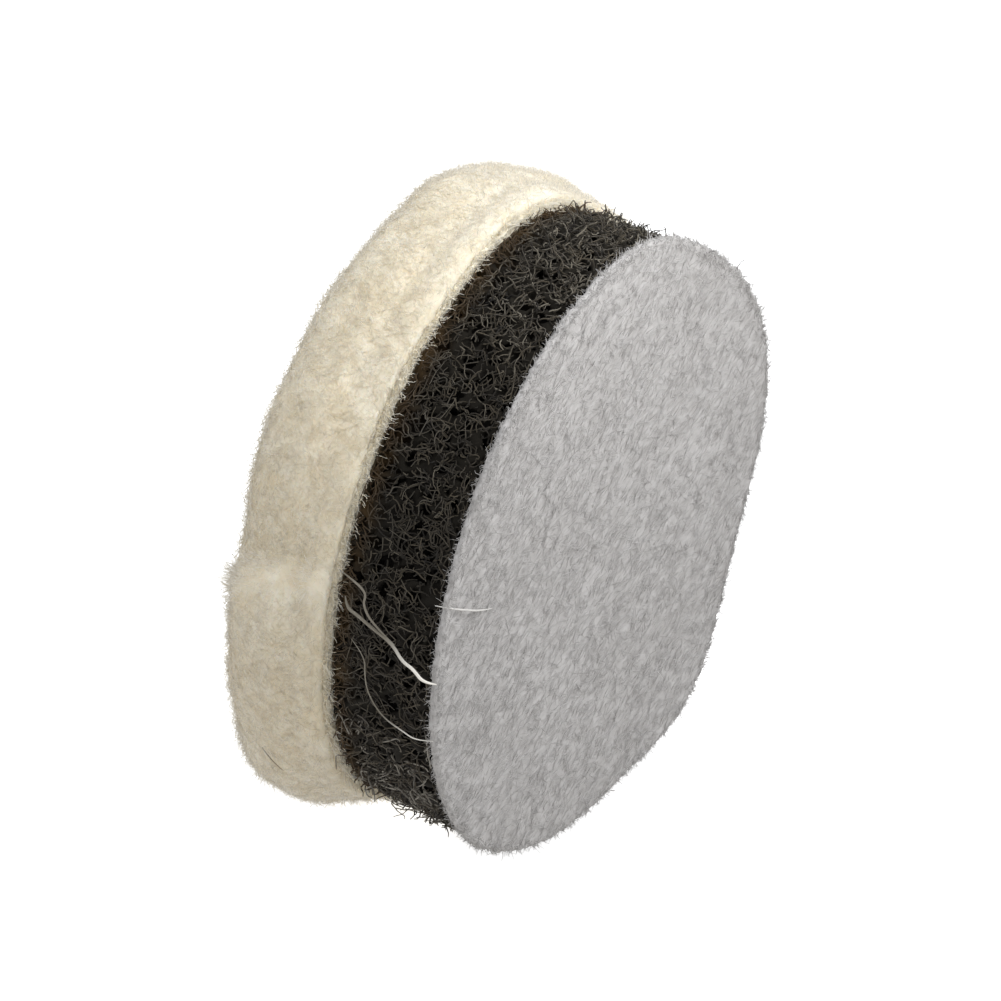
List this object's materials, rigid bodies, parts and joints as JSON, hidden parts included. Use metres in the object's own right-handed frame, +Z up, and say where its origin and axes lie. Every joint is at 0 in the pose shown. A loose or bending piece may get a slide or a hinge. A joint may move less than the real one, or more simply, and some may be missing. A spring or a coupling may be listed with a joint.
{
  "type": "polishing pad",
  "caption": "Round hook-and-loop polishing pad: a felted wool face on a springy foam core, with a brushed loop fabric back.",
  "frame": {"origin": "centre of the loop face, where the hooks of a backing plate grip the pad", "axes": "+Y along the pad's turning axis, from the loop face to the wool face; +Z up, with the pad standing on its rim"},
  "size_m": [0.031, 0.0113, 0.031],
  "materials": {
    "loop_fabric": "brushed light grey loop nap",
    "bond_film": "dried contact glue",
    "foam": "black open-cell foam",
    "ground_cloth": "undyed woven cloth",
    "wool": "undyed felted wool"
  },
  "bodies": {
    "backing": {"loop_fabric": "loop_fabric", "loop_bond_film": "bond_film", "foam_core": "foam"},
    "wool_pad": {"wool_bond_film": "bond_film", "ground_cloth": "ground_cloth", "wool_face": "wool"}
  },
  "joints": [
    {"name": "foam_give", "type": "slide", "parent": "backing", "child": "wool_pad", "axis": [0, -1, 0], "range_m": [0, 0.0015], "stiffness_N_per_m": 1400, "deforming": ["foam_core"]}
  ]
}
